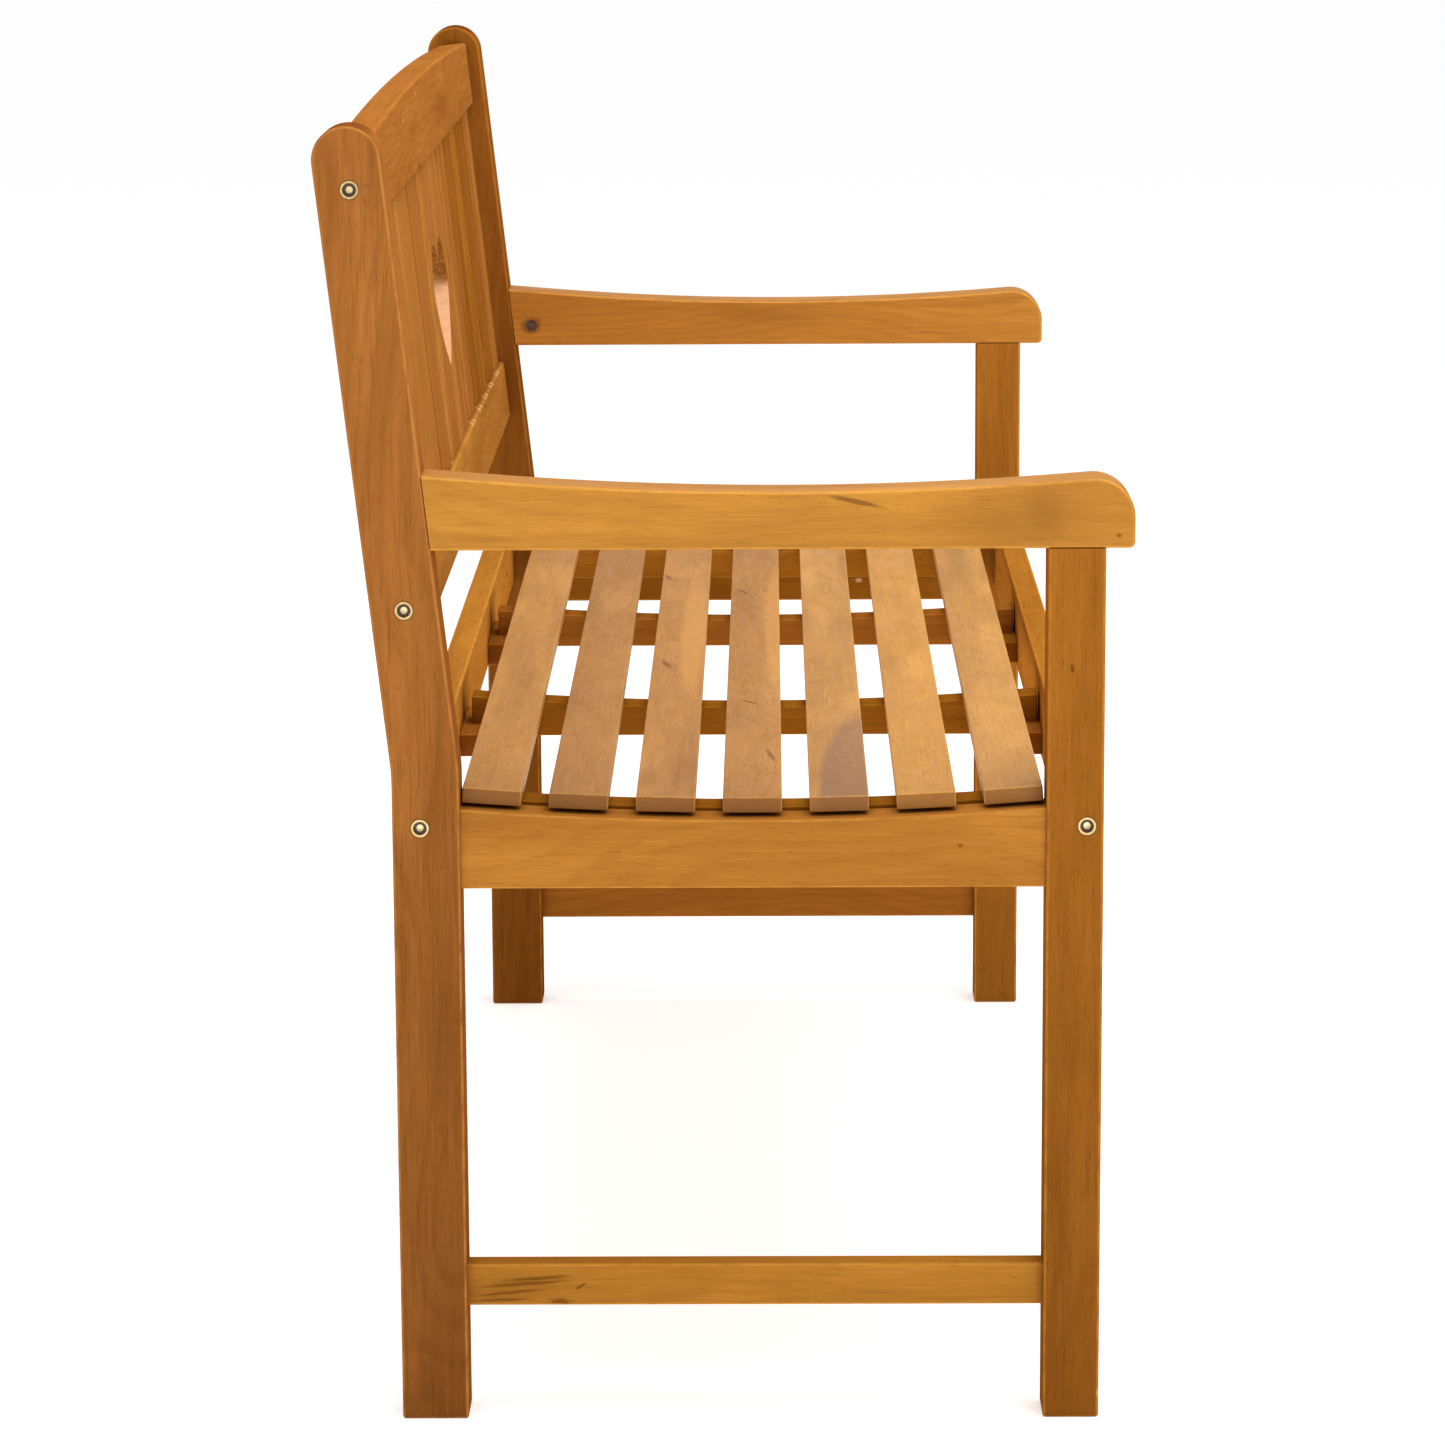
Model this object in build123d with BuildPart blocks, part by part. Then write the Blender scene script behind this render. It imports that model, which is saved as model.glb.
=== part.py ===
from build123d import *
import math
import os

# Garden bench of solid hardwood: two end frames with armrests, two seat rails,
# a dished slatted seat and a raked back with upright boards around a heart board.
# Millimetres, +Z up, +X along the bench, the sitter faces -Y.
# Origin on the floor, under the centre of the bench.

# ---- overall ----
bench_length = 1200.0
leg_thickness = 38.0
half_length = bench_length / 2
inner_x = half_length - leg_thickness
fit_gap = 0.2
edge_ease = 2.5

# ---- rear posts and the rake of the back ----
post_width = 46.2
post_front_y = 183.4
post_back_y = post_front_y + post_width
bench_height = 900.0
rake_angle = 6.28
bend_radius = 140.0
back_origin_y = 232.8
back_origin_z = 700.0
rake = math.radians(rake_angle)

# ---- front legs and armrests ----
front_leg_front_y = -256.0
front_leg_back_y = -217.0
arm_underside_z = 614.0
arm_tip_y = -275.5
arm_top_points = [(-275.5, 664.1), (-34.0, 653.1), (170.0, 662.0)]
arm_straight = 55.0
arm_nose_radius = 27.0
arm_bolt_z = 632.0
arm_nut_y = 185.8

# ---- side rails and low side stretchers ----
side_rail_thickness = 32.0
side_rail_inset = 4.0
side_rail_bottom_z = 379.0
stretcher_thickness = 20.0
stretcher_inset = 8.0
stretcher_bottom_z = 80.0
stretcher_height = 30.0
tenon_length = 12.0

# ---- long seat rails ----
seat_rail_thickness = 20.0
front_rail_y = -253.7
rear_rail_y = 205.0
front_rail_z = (393.0, 453.0)
rear_rail_z = (396.0, 450.0)
front_bolt_y = -244.5
rear_bolt_y = 210.5
seat_bolt_z = 422.5
seat_nut_x = 450.0

# ---- dished seat ----
seat_mid_y = -16.4
seat_top_z = 440.2
seat_radius = 2500.0
slat_count = 7
slat_pitch = 59.4
slat_width = 40.6
slat_thickness = 11.0
slat_length = 1170.0
bearer_thickness = 28.0
end_bearer_bottom_z = 405.0
mid_bearer_bottom_z = 407.5
mid_bearer_x = 190.0
mid_bearer_ends = (-231.5, 198.0)
end_bearer_ends = (-214.0, 180.0)
cleat_length = 112.0
cleat_depth = 30.0
cleat_z = (400.0, 417.0)

# ---- backrest ----
back_rail_rear_w = -12.0
top_rail_front_w = 12.0
low_rail_front_w = 10.5
top_rail_v = (131.0, 186.0, 195.5)
low_rail_v = (-153.0, -102.0, -96.0)
board_thickness = 13.0
board_bottom_v = -110.0
board_top_v = 143.0
heart_board_x = (-106.0, 106.0)
back_boards = [
    (-547.0, -481.0),
    (-459.0, -386.0),
    (-364.0, -223.0),
    (-201.0, -128.0),
    (128.0, 201.0),
    (223.0, 282.0),
    (304.0, 364.0),
    (386.0, 459.0),
    (481.0, 547.0),
]
back_nut_x = 512.0

# ---- fittings ----
bolt_radius = 3.0
bolt_hole_radius = 3.5
flange_radius = 6.3
flange_thickness = 1.5
head_radius = 5.0
head_depth = 5.0
nut_radius = 5.0
dowel_radius = 4.0
screw_radius = 2.0
dowel_reach = 15.0
dowel_spacing = 16.0

os.makedirs("parts", exist_ok=True)

back_plane = Plane(
    origin=(0, back_origin_y, back_origin_z),
    x_dir=(1, 0, 0),
    z_dir=(0, -math.cos(rake), math.sin(rake)),
)


def export(builder, name):
    builder.part.label = name
    export_step(builder.part, f"parts/{name}.step")


def export_mirrored(builder, name):
    with BuildPart() as other:
        mirror(builder.part, about=Plane.YZ)
    export(other, name)


def back_point(x, v, w):
    """Point of the raked back: x along the bench, v up the rake, w to the front."""
    return back_plane.from_local_coords((x, v, w))


def raked_y(z, offset):
    """Y of the line parallel to the raked post, offset from its centre line."""
    return back_origin_y + (z - back_origin_z) * math.tan(rake) + offset / math.cos(rake)


def seat_curve(radius, y):
    """(Y, Z) on the seat's dish at the given radius from the dish's axis."""
    axis_z = seat_top_z + seat_radius
    return (y, axis_z - math.sqrt(radius**2 - (y - seat_mid_y) ** 2))


def slat_plane(index):
    """Plane on the underside of one seat slat, its normal square to the slat."""
    angle = math.asin(slat_pitch * (index - (slat_count - 1) / 2) / seat_radius)
    radius = seat_radius + slat_thickness
    return Plane(
        origin=(
            0,
            seat_mid_y + radius * math.sin(angle),
            seat_top_z + seat_radius - radius * math.cos(angle),
        ),
        x_dir=(1, 0, 0),
        z_dir=(0, -math.sin(angle), math.cos(angle)),
    )


# ---- shared positions ----
leg_x = half_length - leg_thickness / 2
front_leg_y = (front_leg_front_y + front_leg_back_y) / 2
side_mid_y = (front_leg_back_y + post_front_y) / 2
side_length = post_front_y - front_leg_back_y
side_rail_x = -half_length + side_rail_inset + side_rail_thickness / 2
stretcher_x = -half_length + stretcher_inset + stretcher_thickness / 2
side_tenon = (15.0, 386.0, 424.0)
stretcher_tenon = (12.0, stretcher_bottom_z + 4, stretcher_bottom_z + stretcher_height - 4)
front_inner_y = front_rail_y + seat_rail_thickness
end_bearer_x = half_length - side_rail_inset - side_rail_thickness - bearer_thickness / 2
end_bearer_screw_ys = (-126.0, -7.0, 94.0)
end_bearer_screw_z = end_bearer_bottom_z + 12
slat_screw_xs = (-end_bearer_x, -mid_bearer_x, mid_bearer_x, end_bearer_x)
cleat_screw_offset = 36.0
cleat_screw_xs = [s * mid_bearer_x + t * cleat_screw_offset for s in (-1, 1) for t in (-1, 1)]
cleat_mid_z = (cleat_z[0] + cleat_z[1]) / 2
cleat_mid_ys = (front_inner_y + cleat_depth / 2, rear_rail_y - cleat_depth / 2)
top_bolt_v = (top_rail_v[0] + top_rail_v[1]) / 2
low_bolt_v = (low_rail_v[0] + low_rail_v[1]) / 2

# Where the long rails are bolted to the left-hand legs.
top_bolt = back_point(-half_length, top_bolt_v, 0)
low_bolt = back_point(-half_length, low_bolt_v, 0)
rear_bolt = Vector(-half_length, rear_bolt_y, seat_bolt_z)
front_bolt = Vector(-half_length, front_bolt_y, seat_bolt_z)

# A dowel below and a dowel above each bolt.
top_dowels = [back_point(0, top_bolt_v + s * dowel_spacing, 0) for s in (-1, 1)]
low_dowels = [back_point(0, low_bolt_v + s * dowel_spacing, 0) for s in (-1, 1)]
rear_dowels = [Vector(0, rear_bolt_y + 1.5, seat_bolt_z + s * dowel_spacing) for s in (-1, 1)]
front_dowels = [Vector(0, front_bolt_y, seat_bolt_z + s * dowel_spacing) for s in (-1, 1)]


def leg_bolt_hole(point):
    """Stepped hole for a connector bolt, from the outer face of the left leg."""
    with Locations((-leg_x, point.Y, point.Z)):
        Cylinder(bolt_hole_radius, leg_thickness + 2, rotation=(0, 90, 0), mode=Mode.SUBTRACT)
    with Locations((-half_length + 2.5, point.Y, point.Z)):
        Cylinder(head_radius + 0.2, 6.6, rotation=(0, 90, 0), mode=Mode.SUBTRACT)
    with Locations((-half_length, point.Y, point.Z)):
        Cylinder(flange_radius + 0.2, 2.2, rotation=(0, 90, 0), mode=Mode.SUBTRACT)


def dowel_holes(points, x, depth):
    """Blind dowel holes along X, centred on x."""
    with Locations(*[(x, p.Y, p.Z) for p in points]):
        Cylinder(dowel_radius + 0.1, depth, rotation=(0, 90, 0), mode=Mode.SUBTRACT)


def side_mortise(y, x_mid, tenon):
    """Mortise in the leg face at y, for a tenon given as (thickness, bottom z, top z)."""
    thickness, z_low, z_high = tenon
    with Locations((x_mid, y, (z_low + z_high) / 2)):
        Box(
            thickness + fit_gap,
            2 * (tenon_length + 1),
            z_high - z_low + fit_gap,
            mode=Mode.SUBTRACT,
        )


def bend_z(face_y, offset):
    """Z where a plumb face meets the raked line at that offset."""
    return back_origin_z + (face_y - raked_y(back_origin_z, offset)) / math.tan(rake)


# ---- end frames ----
def rear_post():
    centre_z = bench_height - post_width / 2
    top_y = raked_y(centre_z, 0)
    across = post_width / 2 * math.cos(rake)
    rise = post_width / 2 * math.sin(rake)
    front_top = (top_y - across, centre_z + rise)
    back_top = (top_y + across, centre_z - rise)
    crown = (top_y + rise, centre_z + across)
    back_face_y = raked_y(arm_bolt_z, post_width / 2)
    with BuildPart() as post:
        with BuildSketch(Plane.YZ.offset(-half_length)) as profile:
            with BuildLine():
                Polyline(
                    front_top,
                    (post_front_y, bend_z(post_front_y, -post_width / 2)),
                    (post_front_y, 0),
                    (post_back_y, 0),
                    (post_back_y, bend_z(post_back_y, post_width / 2)),
                    back_top,
                )
                ThreePointArc(back_top, crown, front_top)
            make_face()
            bends = profile.vertices().filter_by_position(Axis.Y, 400, 520)
            fillet(bends, bend_radius)
        extrude(amount=leg_thickness)
        outline = post.faces().filter_by(Axis.X).edges()
        foot = post.edges().filter_by(Axis.X).group_by(Axis.Z)[0]
        fillet(outline + foot, edge_ease)
        for point in (top_bolt, low_bolt, rear_bolt):
            leg_bolt_hole(point)
        dowel_holes(top_dowels + low_dowels + rear_dowels, -inner_x, 2 * dowel_reach + 1)
        side_mortise(post_front_y, side_rail_x, side_tenon)
        side_mortise(post_front_y, stretcher_x, stretcher_tenon)
        with Locations((-leg_x, back_face_y - post_width / 2, arm_bolt_z)):
            Cylinder(bolt_hole_radius, post_width + 10, rotation=(90, 0, 0), mode=Mode.SUBTRACT)
        with Locations((-leg_x, back_face_y, arm_bolt_z)):
            Cylinder(flange_radius + 0.2, 2 * 4.0, rotation=(90, 0, 0), mode=Mode.SUBTRACT)
        with Locations((-leg_x, back_face_y - 6.5, arm_bolt_z)):
            Cylinder(head_radius + 0.2, 6.0, rotation=(90, 0, 0), mode=Mode.SUBTRACT)
    return post


def front_leg():
    depth = front_leg_back_y - front_leg_front_y
    with BuildPart() as leg:
        with Locations((-leg_x, front_leg_y, arm_underside_z / 2)):
            Box(leg_thickness, depth, arm_underside_z)
        uprights = leg.edges().filter_by(Axis.Z)
        foot = leg.edges().group_by(Axis.Z)[0]
        fillet(uprights + foot, edge_ease)
        leg_bolt_hole(front_bolt)
        dowel_holes(front_dowels, -inner_x, 2 * dowel_reach + 1)
        side_mortise(front_leg_back_y, side_rail_x, side_tenon)
        side_mortise(front_leg_back_y, stretcher_x, stretcher_tenon)
        with Locations((-leg_x, front_leg_y, arm_underside_z)):
            Cylinder(5.1, 2 * 31, mode=Mode.SUBTRACT)
    return leg


def armrest():
    tip_top, middle_top, back_top = arm_top_points
    with BuildPart() as arm:
        with BuildSketch(Plane.YZ.offset(-half_length)) as profile:
            with BuildLine():
                top = ThreePointArc(tip_top, middle_top, back_top)
                straight = Line(top @ 1, top @ 1 + (top % 1) * arm_straight)
                Polyline(
                    straight @ 1,
                    ((straight @ 1).X, arm_underside_z),
                    (arm_tip_y, arm_underside_z),
                    tip_top,
                )
            make_face()
            nose = profile.vertices().group_by(Axis.X)[0].sort_by(Axis.Y)
            fillet(nose[-1], arm_nose_radius)
            fillet(profile.vertices().group_by(Axis.X)[0].sort_by(Axis.Y)[0], 4)
        extrude(amount=leg_thickness)
        fillet(arm.faces().filter_by(Axis.X).edges(), edge_ease)
        with BuildSketch(Plane.YZ.offset(-half_length - 1)):
            with BuildLine():
                Polyline(
                    (raked_y(arm_underside_z - 5, -post_width / 2), arm_underside_z - 5),
                    (raked_y(bench_height, -post_width / 2), bench_height),
                    (bench_height, arm_underside_z - 5),
                    close=True,
                )
            make_face()
        extrude(amount=leg_thickness + 2, mode=Mode.SUBTRACT)
        with Locations((-leg_x, front_leg_y, arm_underside_z)):
            Cylinder(5.1, 2 * 26, mode=Mode.SUBTRACT)
        with Locations((-leg_x, raked_y(arm_bolt_z, -post_width / 2), arm_bolt_z)):
            Cylinder(bolt_hole_radius, 2 * 26, rotation=(90, 0, 0), mode=Mode.SUBTRACT)
        with Locations((-inner_x, arm_nut_y, arm_bolt_z)):
            Cylinder(nut_radius + 0.1, 2 * 27, rotation=(0, 90, 0), mode=Mode.SUBTRACT)
    return arm


def side_rail():
    top_radius = seat_radius + slat_thickness + 2.7
    top = [seat_curve(top_radius, y) for y in (front_leg_back_y, side_mid_y, post_front_y)]
    with BuildPart() as rail:
        with BuildSketch(Plane.YZ.offset(side_rail_x - side_rail_thickness / 2)):
            with BuildLine():
                ThreePointArc(*top)
                Polyline(
                    top[2],
                    (post_front_y, side_rail_bottom_z),
                    (front_leg_back_y, side_rail_bottom_z),
                    top[0],
                )
            make_face()
        extrude(amount=side_rail_thickness)
        ends = rail.faces().filter_by(Axis.Y).edges()
        fillet(rail.edges() - ends, 2.0)
        with Locations((side_rail_x, side_mid_y, (side_tenon[1] + side_tenon[2]) / 2)):
            Box(side_tenon[0], side_length + 2 * tenon_length, side_tenon[2] - side_tenon[1])
        for y in end_bearer_screw_ys:
            with Locations((side_rail_x + side_rail_thickness / 2, y, end_bearer_screw_z)):
                Cylinder(screw_radius, 2 * 13, rotation=(0, 90, 0), mode=Mode.SUBTRACT)
    return rail


def side_stretcher():
    thickness, tenon_low, tenon_high = stretcher_tenon
    mid_z = stretcher_bottom_z + stretcher_height / 2
    with BuildPart() as bar:
        with Locations((stretcher_x, side_mid_y, mid_z)):
            Box(stretcher_thickness, side_length, stretcher_height)
        fillet(bar.edges().filter_by(Axis.Y), edge_ease)
        with Locations((stretcher_x, side_mid_y, mid_z)):
            Box(thickness, side_length + 2 * tenon_length, tenon_high - tenon_low)
    return bar


# ---- long rails ----
def seat_rail(y_low, z_range, bolt, dowels, inner_y):
    """Seat rail between the legs; nuts and cleat screws enter its inner face, at inner_y."""
    height = z_range[1] - z_range[0]
    inward = 1 if inner_y < seat_mid_y else -1
    with BuildPart() as rail:
        with Locations((0, y_low + seat_rail_thickness / 2, z_range[0] + height / 2)):
            Box(2 * inner_x, seat_rail_thickness, height)
        fillet(rail.edges().filter_by(Axis.X), edge_ease)
        for side in (-1, 1):
            reach = inner_x - seat_nut_x + 12
            with Locations((side * inner_x, bolt.Y, bolt.Z)):
                Cylinder(bolt_hole_radius, 2 * reach, rotation=(0, 90, 0), mode=Mode.SUBTRACT)
            with Locations((side * seat_nut_x, inner_y, bolt.Z)):
                Cylinder(nut_radius + 0.1, 2 * 15, rotation=(90, 0, 0), mode=Mode.SUBTRACT)
            dowel_holes(dowels, side * inner_x, 2 * dowel_reach + 1)
        for x in cleat_screw_xs:
            with Locations((x, inner_y - inward * 4.5, cleat_mid_z)):
                Cylinder(screw_radius, 9, rotation=(90, 0, 0), mode=Mode.SUBTRACT)
    return rail


def back_rail(v_range, front_w, bolt_v, dowels, mortise_v):
    """Raked rail with an arched top edge; the boards are housed from mortise_v."""
    low, end_top, mid_top = v_range
    bore_length = 2 * (inner_x - back_nut_x + 12)
    with BuildPart() as rail:
        with BuildSketch(back_plane.offset(back_rail_rear_w)):
            with BuildLine():
                ThreePointArc((-inner_x, end_top), (0, mid_top), (inner_x, end_top))
                Polyline((inner_x, end_top), (inner_x, low), (-inner_x, low), (-inner_x, end_top))
            make_face()
        extrude(amount=front_w - back_rail_rear_w)
        fillet(rail.edges(), 2.8)
        with BuildSketch(back_plane.offset(-board_thickness / 2 - fit_gap / 2)):
            for x_low, x_high in back_boards + [heart_board_x]:
                with Locations(((x_low + x_high) / 2, (mortise_v[0] + mortise_v[1]) / 2)):
                    Rectangle(x_high - x_low + fit_gap, mortise_v[1] - mortise_v[0])
        extrude(amount=board_thickness + fit_gap, mode=Mode.SUBTRACT)
        for side in (-1, 1):
            with Locations(back_point(side * inner_x, bolt_v, 0)):
                Cylinder(bolt_hole_radius, bore_length, rotation=(0, 90, 0), mode=Mode.SUBTRACT)
            nut_entry = Location((side * back_nut_x, bolt_v, back_rail_rear_w))
            with Locations(back_plane.location * nut_entry):
                Cylinder(nut_radius + 0.1, 2 * 19, mode=Mode.SUBTRACT)
            dowel_holes(dowels, side * inner_x, 2 * dowel_reach + 1)
    return rail


# ---- backrest boards ----
def back_board(x_low, x_high):
    with BuildPart() as board:
        with BuildSketch(back_plane.offset(-board_thickness / 2)):
            with Locations(((x_low + x_high) / 2, (board_bottom_v + board_top_v) / 2)):
                Rectangle(x_high - x_low, board_top_v - board_bottom_v)
        extrude(amount=board_thickness)
        fillet(board.edges().group_by(SortBy.LENGTH)[-1], 1.5)
    return board


def heart_board():
    """Centre board with a heart sawn through it."""
    with BuildPart() as board:
        with BuildSketch(back_plane.offset(-board_thickness / 2)):
            with Locations((0, (board_bottom_v + board_top_v) / 2)):
                Rectangle(heart_board_x[1] - heart_board_x[0], board_top_v - board_bottom_v)
        extrude(amount=board_thickness)
        fillet(board.edges().group_by(SortBy.LENGTH)[-1], 1.5)
        with BuildSketch(back_plane.offset(-board_thickness / 2 - 1)):
            with BuildLine():
                ThreePointArc((0, 46), (37, 64), (73, 24))
                ThreePointArc((73, 24), (42, -9), (0, -35))
                ThreePointArc((0, -35), (-42, -9), (-73, 24))
                ThreePointArc((-73, 24), (-37, 64), (0, 46))
            make_face()
        extrude(amount=board_thickness + 2, mode=Mode.SUBTRACT)
    return board


# ---- seat ----
def seat_slat(index):
    with BuildPart() as slat:
        with BuildSketch(slat_plane(index)):
            Rectangle(slat_length, slat_width)
        extrude(amount=slat_thickness)
        fillet(slat.edges(), 1.2)
        underside = slat_plane(index).origin
        for x in slat_screw_xs:
            with Locations((x, underside.Y, underside.Z)):
                Cylinder(screw_radius, 2 * 7, mode=Mode.SUBTRACT)
    return slat


def bearer(x_mid, ends, bottom_z):
    """Cross bearer with a level underside; its top follows the undersides of the slats."""
    top_radius = seat_radius + slat_thickness + 0.1
    middle = (ends[0] + ends[1]) / 2
    top = [seat_curve(top_radius, y) for y in (ends[0], middle, ends[1])]
    with BuildPart() as bar:
        with BuildSketch(Plane.YZ.offset(x_mid - bearer_thickness / 2)):
            with BuildLine():
                ThreePointArc(*top)
                Polyline(top[2], (ends[1], bottom_z), (ends[0], bottom_z), top[0])
            make_face()
        extrude(amount=bearer_thickness)
        fillet(bar.edges(), 1.2)
        for index in range(slat_count):
            with Locations((x_mid, slat_plane(index).origin.Y, bottom_z)):
                Cylinder(screw_radius, 80, mode=Mode.SUBTRACT)
    return bar


def mid_bearer(x_mid):
    """Bearer between the seat rails, its ends notched to sit on cleats."""
    bar = bearer(x_mid, mid_bearer_ends, mid_bearer_bottom_z)
    with BuildPart() as seated:
        add(bar.part)
        for y in (front_inner_y, rear_rail_y):
            with Locations((x_mid, y, cleat_z[1] - 6)):
                Box(bearer_thickness + 2, 2 * cleat_depth + 2, 12, mode=Mode.SUBTRACT)
        for y in cleat_mid_ys:
            with Locations((x_mid, y, cleat_z[1])):
                Cylinder(screw_radius, 2 * 13, mode=Mode.SUBTRACT)
    return seated


def end_bearer(x_mid):
    """Bearer screwed to the inner face of a side rail."""
    bar = bearer(x_mid, end_bearer_ends, end_bearer_bottom_z)
    through = bearer_thickness + 4
    with BuildPart() as drilled:
        add(bar.part)
        for y in end_bearer_screw_ys:
            with Locations((x_mid, y, end_bearer_screw_z)):
                Cylinder(screw_radius, through, rotation=(0, 90, 0), mode=Mode.SUBTRACT)
    return drilled


def cleat(x_mid, face_y):
    """Block screwed to a seat rail's inner face, carrying one end of a bearer."""
    inward = 1 if face_y < seat_mid_y else -1
    mid_y = face_y + inward * cleat_depth / 2
    through = cleat_depth + 2
    with BuildPart() as block:
        with Locations((x_mid, mid_y, cleat_mid_z)):
            Box(cleat_length, cleat_depth, cleat_z[1] - cleat_z[0])
        fillet(block.edges(), 1.0)
        for offset in (-cleat_screw_offset, cleat_screw_offset):
            with Locations((x_mid + offset, mid_y, cleat_mid_z)):
                Cylinder(screw_radius, through, rotation=(90, 0, 0), mode=Mode.SUBTRACT)
        with Locations((x_mid, mid_y, cleat_mid_z)):
            Cylinder(screw_radius, 20, mode=Mode.SUBTRACT)
    return block


# ---- fittings ----
def connector_bolt(location, length):
    """Flanged connector bolt along the location's Z, entering at its origin."""
    with Locations(location * Location((0, 0, flange_thickness / 2 - 0.4))):
        Cylinder(flange_radius, flange_thickness)
    with Locations(location * Location((0, 0, head_depth / 2))):
        Cylinder(head_radius, head_depth)
    with Locations(location * Location((0, 0, length / 2))):
        Cylinder(bolt_radius, length)
    with Locations(location * Location((0, 0, 0.8))):
        Cylinder(4.2, 2.4, mode=Mode.SUBTRACT)
    with BuildSketch(Plane(location * Location((0, 0, 2.0)))) as socket:
        RegularPolygon(radius=2.3, side_count=6)
    extrude(socket.sketch, amount=2.8, mode=Mode.SUBTRACT)


def seat_rail_bolts():
    with BuildPart() as bolts:
        for side in (-1, 1):
            for point in (front_bolt, rear_bolt):
                place = Location((side * half_length, point.Y, point.Z), (0, -side * 90, 0))
                connector_bolt(place, half_length - seat_nut_x + 8)
    return bolts


def back_rail_bolts():
    with BuildPart() as bolts:
        for side in (-1, 1):
            for point in (top_bolt, low_bolt):
                place = Location((side * half_length, point.Y, point.Z), (0, -side * 90, 0))
                connector_bolt(place, half_length - back_nut_x + 8)
    return bolts


def armrest_bolts():
    head_y = raked_y(arm_bolt_z, post_width / 2) - 2.5
    with BuildPart() as bolts:
        for side in (-1, 1):
            place = Location((side * leg_x, head_y, arm_bolt_z), (90, 0, 0))
            connector_bolt(place, head_y - arm_nut_y + 8)
    return bolts


def nut_bore(location):
    """Bolt hole through a barrel nut, along the location's Z."""
    with Locations(location):
        Cylinder(bolt_radius, 4 * nut_radius, mode=Mode.SUBTRACT)


def seat_rail_nuts():
    with BuildPart() as nuts:
        for side in (-1, 1):
            for face_y, toward, bolt in (
                (front_inner_y, -1, front_bolt),
                (rear_rail_y, 1, rear_bolt),
            ):
                with Locations((side * seat_nut_x, face_y + toward * 7.6, bolt.Z)):
                    Cylinder(nut_radius, 14, rotation=(90, 0, 0))
                nut_bore(Location((side * seat_nut_x, bolt.Y, bolt.Z), (0, 90, 0)))
    return nuts


def back_rail_nuts():
    with BuildPart() as nuts:
        for side in (-1, 1):
            for v, point in ((top_bolt_v, top_bolt), (low_bolt_v, low_bolt)):
                with Locations(back_plane.location * Location((side * back_nut_x, v, -2.5))):
                    Cylinder(nut_radius, 18)
                nut_bore(Location((side * back_nut_x, point.Y, point.Z), (0, 90, 0)))
    return nuts


def armrest_nuts():
    with BuildPart() as nuts:
        for side in (-1, 1):
            with Locations((side * (inner_x + 13.5), arm_nut_y, arm_bolt_z)):
                Cylinder(nut_radius, 24, rotation=(0, 90, 0))
            nut_bore(Location((side * leg_x, arm_nut_y, arm_bolt_z), (90, 0, 0)))
    return nuts


def rail_dowels():
    with BuildPart() as dowels:
        for side in (-1, 1):
            for point in top_dowels + low_dowels + rear_dowels + front_dowels:
                with Locations((side * inner_x, point.Y, point.Z)):
                    Cylinder(dowel_radius, 2 * dowel_reach, rotation=(0, 90, 0))
    return dowels


def armrest_dowels():
    with BuildPart() as dowels:
        for side in (-1, 1):
            with Locations((side * leg_x, front_leg_y, arm_underside_z - 2.5)):
                Cylinder(5.0, 55)
    return dowels


def wood_screw(location, length):
    """Screw along the location's Z with a low round head behind the origin."""
    with Locations(location * Location((0, 0, length / 2))):
        Cylinder(screw_radius, length)
    with Locations(location * Location((0, 0, -1.1))):
        Cylinder(3.8, 2.2)
    with Locations(location * Location((0, 0, -1.8))):
        Box(4.4, 1.0, 1.0, mode=Mode.SUBTRACT)
        Box(1.0, 4.4, 1.0, mode=Mode.SUBTRACT)


def seat_slat_screws():
    with BuildPart() as screws:
        for index in range(slat_count):
            underside = slat_plane(index).origin
            for x in slat_screw_xs:
                bottom_z = end_bearer_bottom_z if abs(x) > mid_bearer_x else mid_bearer_bottom_z
                wood_screw(Location((x, underside.Y, bottom_z)), underside.Z + 6 - bottom_z)
    return screws


def end_bearer_screws():
    with BuildPart() as screws:
        for side in (-1, 1):
            for y in end_bearer_screw_ys:
                face_x = side * (end_bearer_x - bearer_thickness / 2)
                wood_screw(Location((face_x, y, end_bearer_screw_z), (0, side * 90, 0)), 40)
    return screws


def cleat_screws():
    heads = ((front_inner_y + cleat_depth, 90), (rear_rail_y - cleat_depth, -90))
    with BuildPart() as screws:
        for y, turn in heads:
            for x in cleat_screw_xs:
                wood_screw(Location((x, y, cleat_mid_z), (turn, 0, 0)), cleat_depth + 8)
        for y in cleat_mid_ys:
            for x in (-mid_bearer_x, mid_bearer_x):
                wood_screw(Location((x, y, cleat_z[0])), cleat_z[1] - cleat_z[0] + 12)
    return screws


# ---- build and export every piece ----
for build, name in (
    (rear_post, "rear_post"),
    (front_leg, "front_leg"),
    (armrest, "armrest"),
    (side_rail, "side_rail"),
    (side_stretcher, "side_stretcher"),
):
    piece = build()
    export(piece, f"{name}_left")
    export_mirrored(piece, f"{name}_right")

export(
    seat_rail(front_rail_y, front_rail_z, front_bolt, front_dowels, front_inner_y),
    "seat_front_rail",
)
export(
    seat_rail(rear_rail_y, rear_rail_z, rear_bolt, rear_dowels, rear_rail_y),
    "seat_rear_rail",
)
top_housing = (top_rail_v[0] - 5, board_top_v + 1)
low_housing = (board_bottom_v - 1, low_rail_v[2] + 5)
export(
    back_rail(top_rail_v, top_rail_front_w, top_bolt_v, top_dowels, top_housing),
    "back_top_rail",
)
export(
    back_rail(low_rail_v, low_rail_front_w, low_bolt_v, low_dowels, low_housing),
    "back_bottom_rail",
)
export(heart_board(), "back_heart_board")
for number, (x_low, x_high) in enumerate(back_boards, start=1):
    export(back_board(x_low, x_high), f"back_board_{number}")

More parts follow.
